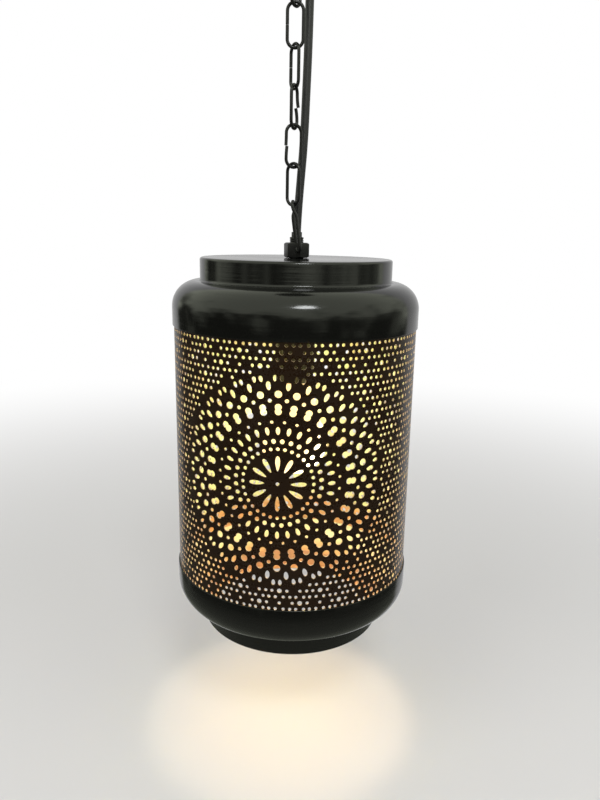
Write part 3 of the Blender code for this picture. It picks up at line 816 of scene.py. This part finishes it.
def roundShading(piece):   # the sheet's own normals, so that small facets don't show
    mesh = piece.data
    normals = []
    for face in mesh.polygons:
        out = face.center - lidTop
        out = Vector((out.x, out.y, 0)).normalized()
        facing, wall = face.normal.dot(out), drum["wallFacing"]
        side = 1 if facing > wall else -1 if facing < -wall else 0
        for corner in face.loop_indices:
            place = mesh.vertices[mesh.loops[corner].vertex_index].co - lidTop
            radial = Vector((place.x, place.y, 0)).normalized()
            normals.append(radial * side if side else face.normal.copy())
    mesh.normals_split_custom_set(normals)


drumPiece = dress(rollDrum(), drumEnamel, "black_enamel", "lantern", "pierced_drum")
roundShading(drumPiece)


# hanging nut, threaded nipple and what they clamp

hanger = {
    "flats": 0.018,
    "gap": 0.0003,
    "top": 0.012,
    "face": 0.0087,         # radius at which the chamfers start
    "chamfer": 30,
    "spare": 0.001,
    "bore": 0.0060,
    "corner": 24.3,         # the front one, from the front towards +X
    "eye": 0.0014,
    "edge": 0.00022,
    "washer": 0.012,
    "washerThick": 0.0015,
    "lockHeight": 0.006,
    "linerTop": 0.0203,
    "linerFoot": 0.006,
    "linerBore": 0.00355,
    "linerRadius": 0.0042,
    "linerEdge": 0.00025,
    "linerSides": 48,
    "sides": 64,
}


def hexNut(name, low, high, turn):
    flats, face, spare = hanger["flats"], hanger["face"], hanger["spare"]
    bpy.ops.object.select_all(action="DESELECT")
    bpy.ops.mesh.primitive_cylinder_add(
        vertices=6, radius=flats / sqrt(3), depth=high - low + 2 * spare, rotation=(0, 0, turn),
        location=lidTop + Vector((0, 0, (low + high) / 2)))
    nut = bpy.context.object
    nut.name = name
    settle(nut)
    reach = flats / sqrt(3) + spare
    fall = (reach - face) * tan(radians(hanger["chamfer"]))
    trim = [(hanger["bore"], low), (face, low), (reach, low + fall), (reach, high - fall),
            (face, high), (hanger["bore"], high)]
    cut(nut, turnPiece("chamfer_tool", trim, hanger["sides"], lidTop), "INTERSECT")
    return nut


def makeHanger():
    nut = hexNut("hanging_nut", hanger["gap"], hanger["top"], radians(hanger["corner"]))
    softenEdges(nut, hanger["edge"])
    cut(nut, wireTube("eye_tool", lastLinkPoints(), hanger["eye"], chain["sides"]))
    dress(nut, blackSteel, "blackened_steel", "lantern", "hanger_nut")

    under = -cap["sheet"] - hanger["gap"]
    foot = under - hanger["washerThick"]
    bore, radius = hanger["bore"], hanger["washer"]
    ring = [(bore, foot), (radius, foot), (radius, under), (bore, under)]
    washer = turnPiece("plain_washer", ring, hanger["sides"], lidTop)
    softenEdges(washer, hanger["edge"])
    dress(washer, zincSteel, "zinc_steel", "lantern", "lid_washer")
    lockTop = foot - hanger["gap"]
    lock = hexNut("inner_lock_nut", lockTop - hanger["lockHeight"], lockTop, 0)
    softenEdges(lock, hanger["edge"])
    dress(lock, zincSteel, "zinc_steel", "lantern", "lock_nut")

    bore, radius, edge = hanger["linerBore"], hanger["linerRadius"], hanger["linerEdge"]
    line = [(bore, hanger["linerFoot"]), (radius, hanger["linerFoot"])]
    line += arc((radius - edge, hanger["linerTop"] - edge), edge, 0, 90, 4)
    line += arc((bore + edge, hanger["linerTop"] - edge), edge, 90, 180, 4)
    liner = turnPiece("flex_liner_sleeve", line, hanger["linerSides"], lidTop)
    dress(liner, nylon, "black_nylon", "lantern", "flex_liner")


def cutThread(piece, radius, depth, pitch, low, high):
    def groove(angle, height):
        fade = smoothstep(height, low, low + pitch) * (1 - smoothstep(height, high - pitch, high))
        return depth * fade * wave(height / pitch - angle / (2 * pi))
    pressWall(piece, lidTop, radius, groove)


nipple = {
    "radius": 0.0057,
    "bore": 0.0045,
    "top": 0.0164,
    "bottom": -0.052,
    "lead": 0.0005,
    "pitch": 0.0014,
    "depth": 0.0006,
    "rowsPerPitch": 6,
    "sides": 32,
}


def makeNipple():
    lead, top, bottom = nipple["lead"], nipple["top"], nipple["bottom"]
    rows = round((top - bottom - lead) / nipple["pitch"] * nipple["rowsPerPitch"])
    wall = [top - lead + (bottom - top + lead) * i / rows for i in range(rows + 1)]
    line = [(nipple["bore"], top), (nipple["radius"] - lead, top)]
    line += [(nipple["radius"], height) for height in wall] + [(nipple["bore"], bottom)]
    piece = turnPiece("threaded_tube", line, nipple["sides"], lidTop)
    cutThread(piece, nipple["radius"], nipple["depth"], nipple["pitch"], bottom, top - lead / 2)
    dress(piece, blackSteel, "blackened_steel", "lantern", "threaded_nipple", smooth=threadAngle)


makeHanger()
makeNipple()
print("hanger made")


# lampholder and bulb

holder = {
    "top": -0.044,
    "split": -0.064,
    "mouth": -0.101,
    "radius": 0.0165,
    "wall": 0.002,
    "neck": 0.0095,
    "domeFrom": 75,     # degrees above its widest ring
    "domeSteps": 12,
    "roof": 0.005,
    "skirt": 0.006,
    "step": 0.0008,
    "rim": 0.008,
    "bore": 0.0139,
    "edge": 0.0003,
    "ribs": 30,
    "ribDepth": 0.0006,
    "ribTop": -0.068,
    "ribFoot": -0.0905,
    "ribRows": 8,
    "coverSides": 64,
    "sides": 120,
}


def makeHolder():
    radius, neck, split, mouth = holder["radius"], holder["neck"], holder["split"], holder["mouth"]
    hollow = radius - holder["wall"]
    shoulder = (neck, split + holder["skirt"])
    roof = holder["top"] - holder["roof"]
    line = [(hanger["bore"], holder["top"]), (neck, holder["top"])]
    line += arc(shoulder, radius - neck, holder["domeFrom"], 0, holder["domeSteps"])
    line += [(radius, split), (hollow, split), (hollow, shoulder[1]), (neck, roof)]
    line += [(hanger["bore"], roof)]
    cover = turnPiece("holder_dome", line, holder["coverSides"], lidTop)
    softenEdges(cover, holder["edge"])
    dress(cover, phenolic, "dark_phenolic", "lantern", "holder_cap")

    top = split - hanger["gap"]
    rim = radius - holder["step"]
    rimTop = mouth + holder["rim"]
    ribTop, ribFoot, count = holder["ribTop"], holder["ribFoot"], holder["ribRows"]
    rows = [ribTop + (ribFoot - ribTop) * i / count for i in range(count + 1)]
    line = [(holder["bore"], top), (radius, top)] + [(radius, height) for height in rows]
    line += [(radius, rimTop), (rim, rimTop - holder["step"]), (rim, mouth), (holder["bore"], mouth)]
    shell = turnPiece("holder_barrel", line, holder["sides"], lidTop)

    def ribs(angle, height):
        grip = smoothstep(height, rows[-1], rows[-2]) * (1 - smoothstep(height, rows[1], rows[0]))
        return holder["ribDepth"] * grip * wave(holder["ribs"] * angle / (2 * pi))
    pressWall(shell, lidTop, radius, ribs)
    softenEdges(shell, holder["edge"], bluntAngle)
    dress(shell, phenolic, "dark_phenolic", "lantern", "holder_shell")


bulb = {
    "neck": ((0.0128, 0.0), (0.0140, 0.006), (0.0190, 0.022)),   # radius, drop from the screw cap
    "radius": 0.0285,
    "neckMeets": 35,        # degrees above the globe's widest ring
    "neckSteps": 5,
    "globeSteps": 26,
    "bottom": -0.183,
    "wall": 0.0008,
    "capTip": -0.0753,
    "capRadius": 0.0131,
    "capWall": 0.0006,
    "capRoof": 0.006,
    "tipRadius": 0.0045,
    "taper": 0.0045,
    "pitch": 0.0036,
    "depth": 0.0009,
    "rowsPerPitch": 10,
    "capSides": 48,
    "sides": 64,
}


def makeBulb():
    foot = holder["mouth"] - hanger["gap"]
    middle = (0, bulb["bottom"] + bulb["radius"])
    neck = [(radius, foot - hanger["gap"] - fall) for radius, fall in bulb["neck"]]
    globe = arc(middle, bulb["radius"], bulb["neckMeets"], -90, bulb["globeSteps"])
    outside = smoothLine(neck + globe[:1], bulb["neckSteps"])[:-1] + globe
    inside = [(max(radius - bulb["wall"], 0), height) for radius, height in outside[::-1][2:]]
    inside = [(0, bulb["bottom"] + bulb["wall"])] + inside
    glass = turnPiece("opal_globe", outside + inside, bulb["sides"], lidTop)
    dress(glass, opal, "opal_glass", "lantern", "bulb_glass", smooth=bluntAngle)
    glass.visible_shadow = False   # the lamp inside shines through it

    tip, radius, bore = bulb["capTip"], bulb["capRadius"], bulb["capRadius"] - bulb["capWall"]
    top = tip - bulb["taper"]
    rows = round((top - foot) / bulb["pitch"] * bulb["rowsPerPitch"])
    line = [(0, tip), (bulb["tipRadius"], tip)]
    line += [(radius, top + (foot - top) * i / rows) for i in range(rows + 1)]
    roof = tip - bulb["capRoof"]
    line += [(bore - bulb["depth"], foot), (bore - bulb["depth"], roof), (0, roof)]
    screw = turnPiece("screw_cap", line, bulb["capSides"], lidTop, closed=False)
    cutThread(screw, radius, bulb["depth"], bulb["pitch"], foot, top)
    dress(screw, brass, "plated_brass", "lantern", "bulb_screw_cap", smooth=threadAngle)


makeHolder()
makeBulb()
print("lampholder and bulb made")


# ceiling fitting: strap, canopy, bush, loop, nut and terminal block

shank = {
    "radius": 0.0025,
    "bore": 0.0028,     # of what it passes through
}


def boxPiece(name, middle, size):
    bpy.ops.object.select_all(action="DESELECT")
    bpy.ops.mesh.primitive_cube_add(size=1, location=middle)
    piece = bpy.context.object
    piece.name = name
    piece.scale = size
    settle(piece)
    return piece


def roundTool(radius, low, high, place, sides=32):
    return turnPiece("round_tool", [(radius, low), (radius, high), (0, high), (0, low)], sides, place)


strap = {
    "thick": 0.0025,
    "edge": 0.0004,
    "slotLength": 0.014,
    "slotWidth": 0.0056,
    "slotOffset": 0.0307,
    "toolReach": 0.02,
    "boss": 0.005,
    "bossDepth": 0.009,
    "bossRoot": -0.0015,    # starts inside the plate
    "bossSides": 40,
}


def makeStrap():
    low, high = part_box("ceiling_strap")
    low.z = high.z - strap["thick"]
    plate = boxPiece("strap_plate", (low + high) / 2, high - low)
    softenEdges(plate, strap["edge"])
    half, reach = strap["slotWidth"] / 2, strap["toolReach"]
    run = (strap["slotLength"] - strap["slotWidth"]) / 2
    for side in (-1, 1):
        middle = Vector((0, side * strap["slotOffset"], 0))
        for end in (-1, 1):
            cut(plate, roundTool(half, -reach, reach, middle + Vector((0, end * run, 0))))
        cut(plate, boxPiece("slot_tool", middle, 2 * Vector((half, run, reach))))
    bore, boss, root = shank["bore"], strap["boss"], strap["bossRoot"]
    foot = -strap["thick"] - strap["bossDepth"]
    ring = [(bore, foot), (boss, foot), (boss, root), (bore, root)]
    cut(plate, turnPiece("boss_tool", ring, strap["bossSides"], (0, 0, 0)), "UNION")
    dress(plate, zincSteel, "zinc_steel", "ceiling_fitting", "ceiling_strap")


canopy = {
    "drop": -0.0295,    # its flat underside
    "flat": 0.016,
    "line": (           # radius, height above the underside
        (0.0300, 0.0), (0.0360, 0.0016), (0.0398, 0.0050), (0.0410, 0.0090), (0.0410, 0.0151),
        (0.0422, 0.0198), (0.0460, 0.0234), (0.0520, 0.0252), (0.0520, 0.0292),
    ),
    "sheet": 0.0009,
    "bendSteps": 5,
    "sides": 112,
}
bush = {
    "bore": 0.00355,
    "neck": 0.00455,
    "collar": 0.00615,
    "lip": 0.0025,
    "edge": 0.0010,
    "toolReach": 0.01,
    "sides": 48,
}


def walled(line, wall):   # an open line and its copy one wall to its left
    inner = []
    for i, here in enumerate(line):
        runs = [Vector(here) - Vector(line[i - 1])] if i else []
        runs += [Vector(line[i + 1]) - Vector(here)] if i + 1 < len(line) else []
        normals = [run.normalized().orthogonal() for run in runs]
        between = (normals[0] + normals[-1]).normalized()
        inner.append(tuple(Vector(here) + between * wall / between.dot(normals[0])))
    return list(line) + inner[::-1]


def makeCanopy():
    flat = canopy["drop"]
    bend = [(radius, flat + up) for radius, up in canopy["line"][:-2]]
    rim = [(radius, flat + up) for radius, up in canopy["line"][-2:]]
    line = [(shank["bore"], flat), (canopy["flat"], flat)]
    line += smoothLine(bend, canopy["bendSteps"]) + rim
    bowl = turnPiece("canopy_bowl", walled(line, canopy["sheet"]), canopy["sides"], (0, 0, 0))
    flexEnd = flexPoint(flex["route"][-1][1])
    place = Vector((flexEnd.x, flexEnd.y, flat))
    bore, neck, collar, reach = bush["bore"], bush["neck"], bush["collar"], bush["toolReach"]
    edge, lip, gap = bush["edge"], bush["lip"], hanger["gap"]
    cut(bowl, roundTool(neck + gap, -reach, reach, place, bush["sides"]))
    dress(bowl, enamel, "blackened_steel", "ceiling_fitting", "ceiling_canopy")

    top = canopy["sheet"] + gap
    line = arc((collar - edge, edge - lip), edge, -90, 0, 5)
    line += [(collar, -gap), (neck, -gap), (neck, top), (collar, top), (collar, top + edge)]
    line += [(bore, top + edge), (bore, -lip)]
    grommet = turnPiece("grommet", line, bush["sides"], place)
    dress(grommet, nylon, "black_nylon", "ceiling_fitting", "canopy_bush")


loop = {
    "radius": 0.007,
    "wire": 0.0015,
    "turn": 121,
    "edge": 0.00025,
    "ringSides": 64,
    "wireSides": 20,
    "stemSides": 40,
    "smooth": 40,
}
gripNut = {
    "radius": 0.0068,
    "height": 0.0042,
    "edge": 0.0012,
    "bevel": 0.0003,
    "knurls": 36,
    "knurlDepth": 0.0004,
    "sidesPerKnurl": 4,
    "smooth": 40,
}


def makeLoop():
    low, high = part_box("canopy_loop")
    middle = low.z + loop["wire"] + loop["radius"]
    bpy.ops.object.select_all(action="DESELECT")
    bpy.ops.mesh.primitive_torus_add(
        major_radius=loop["radius"], minor_radius=loop["wire"],
        major_segments=loop["ringSides"], minor_segments=loop["wireSides"],
        location=(0, 0, middle), rotation=(pi / 2, 0, radians(loop["turn"])))
    eye = bpy.context.object
    eye.name = "eye_loop"
    settle(eye)
    start = middle + loop["radius"]
    stem = roundTool(shank["radius"], start, high.z, Vector((0, 0, 0)), loop["stemSides"])
    cut(eye, stem, "UNION")
    softenEdges(eye, loop["edge"], bluntAngle)
    dress(eye, blackSteel, "blackened_steel", "ceiling_fitting", "canopy_loop",
          smooth=loop["smooth"])

    bore, radius, edge, bevel = shank["bore"], gripNut["radius"], gripNut["edge"], gripNut["bevel"]
    top = canopy["drop"] - hanger["gap"]
    foot = top - gripNut["height"]
    line = [(bore, foot)] + arc((radius - edge, foot + edge), edge, -90, 0, 5)
    line += [(radius, foot + edge + bevel), (radius, top - bevel), (radius - bevel, top), (bore, top)]
    sides = gripNut["knurls"] * gripNut["sidesPerKnurl"]
    nut = turnPiece("knurled_nut", line, sides, (0, 0, 0))

    def knurls(angle, height):
        return gripNut["knurlDepth"] * wave(gripNut["knurls"] * angle / (2 * pi))
    pressWall(nut, Vector((0, 0, 0)), radius, knurls)
    dress(nut, blackSteel, "blackened_steel", "ceiling_fitting", "canopy_nut",
          smooth=gripNut["smooth"])


terminal = {
    "edge": 0.0006,
    "places": (0.28, 0.72),             # of its screws, along the block
    "well": 0.0024,
    "wellDepth": 0.002,
    "screw": 0.0021,
    "screwTop": -0.0006,                # below the block's face
    "screwFoot": -0.0018,
    "screwSlot": (0.006, 0.0006, 0.0010),
    "screwEdge": 0.00015,
}


def faceOut(piece, place):   # its top to +X
    piece.rotation_euler = (0, pi / 2, 0)
    piece.location = place
    settle(piece)


def makeTerminal():
    low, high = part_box("terminal_block")
    block = boxPiece("terminal_body", (low + high) / 2, high - low)
    softenEdges(block, terminal["edge"])
    start, deep, top = Vector((0, 0, 0)), terminal["wellDepth"], terminal["screwTop"]
    screws = []
    for share in terminal["places"]:
        place = Vector((high.x, low.y + (high.y - low.y) * share, (low.z + high.z) / 2))
        well = roundTool(terminal["well"], -deep, deep, start)
        faceOut(well, place)
        cut(block, well)
        screw = roundTool(terminal["screw"], terminal["screwFoot"], top, start)
        cut(screw, boxPiece("slot_tool", (0, 0, top), terminal["screwSlot"]))
        softenEdges(screw, terminal["screwEdge"])
        faceOut(screw, place)
        screws.append(screw)
    dress(block, nylon, "black_nylon", "ceiling_fitting", "terminal_block")
    for i, screw in enumerate(screws):
        screw.name = f"terminal_screw_{i + 1}"
        dress(screw, brass, "plated_brass", "ceiling_fitting")


makeStrap()
makeCanopy()
makeLoop()
makeTerminal()
print("ceiling fitting made")


# solids that stay, hidden inside the lampholder

for node, finish in (("contact_block", ceramic), ("centre_contact", brass)):
    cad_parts[node].data.materials.clear()
    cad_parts[node].data.materials.append(finish)


# stage: floor, backdrop colour and lights

stage = {
    "floor": -0.68,
    "floorSize": 12.0,
    "floorColour": (0.74, 0.73, 0.715),
    "floorRoughness": 0.85,
    "fadeFrom": 0.35,     # distance from the lantern at which the floor starts to fade to white
    "fadeTo": 1.6,
    "ambient": 0.60,
    "aim": -0.15,         # where the lights point, from the top of the lid
}
around = {                # what the gloss sees
    "front": 0.04,        # darkest
    "bright": 1.1,        # how much more the bright patches in front have
    "patchScale": 2.6,
    "patchShare": 1.3,
    "patchRise": 0.8,     # more of them higher up
    "patchFrom": 0.45,
    "patchTo": 1.1,
    "tint": (0.95, 1.0, 0.82),
    "below": 0.22,        # pale floor low in front
    "belowFrom": 0.30,
    "belowTo": 0.62,
    "behind": 0.70,       # pale backdrop
    "behindFrom": 0.57,
    "behindTo": 0.68,
}
softLights = (            # name, place, size, power, tint, seen in the gloss
    ("key_soft", (-0.9, -1.1, 0.9), (1.2, 1.2), 8, (1.0, 0.99, 0.97), False),
    ("fill_soft", (1.2, -0.7, 0.4), (1.2, 1.2), 4, (0.98, 0.99, 1.0), False),
    ("window_soft", (0.32, -1.10, 0.78), (0.50, 0.36), 8, (0.97, 1.0, 1.0), True),
)


def layFloor():
    bpy.ops.object.select_all(action="DESELECT")
    bpy.ops.mesh.primitive_plane_add(size=stage["floorSize"], location=(0, 0, stage["floor"]))
    floor = bpy.context.object
    floor.name = "studio_floor"
    settle(floor)
    made = bpy.data.materials.new("pale_floor")
    made.use_nodes = True
    tree = made.node_tree
    shader = tree.nodes["Principled BSDF"]
    shader.inputs["Base Color"].default_value = colour(*stage["floorColour"])
    shader.inputs["Roughness"].default_value = stage["floorRoughness"]
    tap = Tap(tree)
    away = tap.node("VectorMath", {0: tap.node("TexCoord", {}, out="Object"),
                                   1: (lidTop.x, lidTop.y, stage["floor"])},
                    out="Value", operation="DISTANCE")
    white = tap.node("Emission", {"Color": colour(1, 1, 1), "Strength": 1.0})
    seen = tap.node("LightPath", {}, out="Is Camera Ray")
    faded = tap.node("MixShader", {0: away.between(stage["fadeFrom"], stage["fadeTo"]) * seen,
                                   1: Tap(tree, shader.outputs[0]), 2: white})
    under = tap.node("NewGeometry", {}, out="Backfacing") * seen   # nothing to see from below
    shown = tap.node("MixShader", {0: under, 1: faded, 2: tap.node("BsdfTransparent", {})})
    tree.links.new(shown.socket, tree.nodes["Material Output"].inputs["Surface"])
    floor.data.materials.append(made)
    floor.visible_glossy = False   # the gloss sees the backdrop's white instead


def paintWorld():
    world = bpy.data.worlds.new("studio")
    world.use_nodes = True
    bpy.context.scene.world = world
    tree = world.node_tree
    tap = Tap(tree)
    facing = tap.node("TexCoord", {}, out="Generated")
    back = tap.node("SeparateXYZ", {0: facing}, out="Y")
    behind = back.between(around["behindFrom"], around["behindTo"])
    up = facing.height()
    patches = facing.noise(around["patchScale"], 2) * around["patchShare"] + up * around["patchRise"]
    bright = patches.between(around["patchFrom"], around["patchTo"]) * around["bright"]
    below = (0 - up).between(around["belowFrom"], around["belowTo"]) * around["below"]
    front = bright + below + around["front"]
    seen = tap.node("LightPath", {}, out="Is Camera Ray")
    gloss = tap.node("LightPath", {}, out="Is Glossy Ray")
    through = tap.node("LightPath", {}, out="Is Transmission Ray")
    mirrored = gloss * (behind * around["behind"] + (1 - behind) * front)
    other = (1 - seen) * (1 - gloss) * (1 - through) * stage["ambient"]
    background = tree.nodes["Background"]
    tint = (gloss * (1 - behind)).mix(colour(1, 1, 1), colour(*around["tint"]))
    tree.links.new(tint.socket, background.inputs["Color"])
    tree.links.new((seen + mirrored + through + other).socket, background.inputs["Strength"])


def softLight(name, place, size, power, tint, glossy):
    bpy.ops.object.light_add(type="AREA", location=place)
    light = bpy.context.object
    light.name = name
    aim = lidTop + Vector((0, 0, stage["aim"]))
    light.rotation_euler = (aim - Vector(place)).to_track_quat("-Z", "Y").to_euler()
    light.data.shape = "ELLIPSE"
    light.data.size, light.data.size_y = size
    light.data.energy = power
    light.data.color = tint
    light.visible_camera = False
    light.visible_glossy = glossy


def bulbLight(name, kind, place, power, tint):
    bpy.ops.object.light_add(type=kind, location=lidTop + place)
    light = bpy.context.object
    light.name = name
    light.data.shadow_soft_size = lamp["radius"]
    light.data.energy = power
    light.data.color = tint
    light.visible_camera = False
    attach(light, "lantern")
    return light


bpy.context.scene.view_settings.view_transform = "Standard"
layFloor()
paintWorld()
for row in softLights:
    softLight(*row)
bulbLight("bulb_glow", "POINT", lamp["place"], lamp["power"], lamp["tint"])
spillPlace = Vector((0, 0, lamp["spillTop"]))
spill = bulbLight("bulb_spill", "SPOT", spillPlace, lamp["spill"], lamp["spillTint"])
spill.data.spot_size = radians(lamp["spillCone"])
spill.data.spot_blend = lamp["spillBlend"]
print("stage lit")
